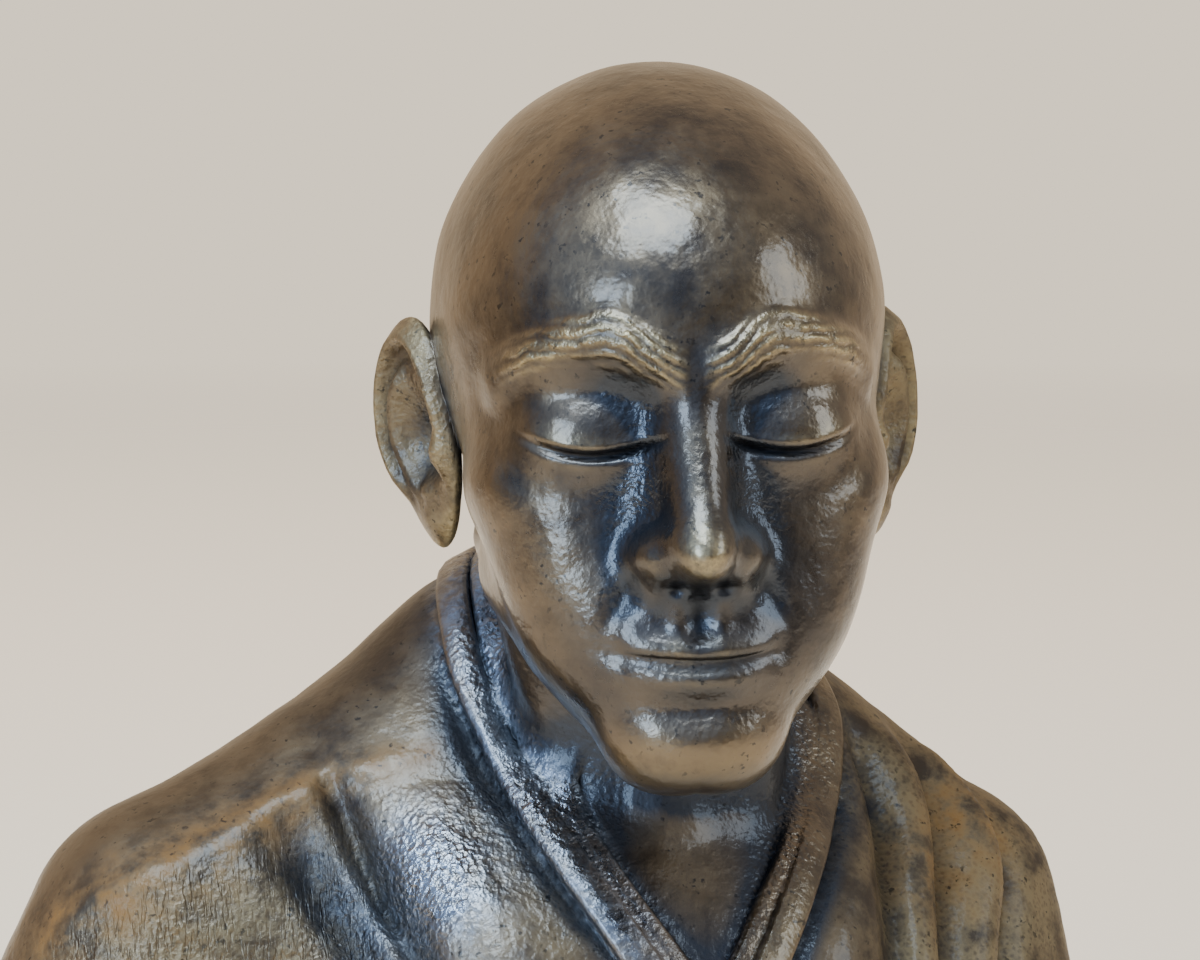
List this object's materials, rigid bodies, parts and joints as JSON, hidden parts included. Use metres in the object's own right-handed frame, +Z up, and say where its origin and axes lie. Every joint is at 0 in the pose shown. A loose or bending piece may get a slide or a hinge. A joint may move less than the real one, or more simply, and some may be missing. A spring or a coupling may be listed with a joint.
{
  "type": "bronze monk bust",
  "caption": "Cast bronze bust of a shaven-headed monk with long ears and closed eyes, in a robe with crossed collars, cut flat below.",
  "frame": {"origin": "on the flat underside, below the head", "axes": "+Z up, the chest faces -Y, the monk's left shoulder is on the +X side"},
  "size_m": [0.1338, 0.0847, 0.1247],
  "materials": {
    "bronze": "dark brown patinated bronze, rubbed golden on the high spots, blackish in the recesses"
  },
  "bodies": {
    "root": {"monk_bust": "bronze"}
  },
  "joints": []
}
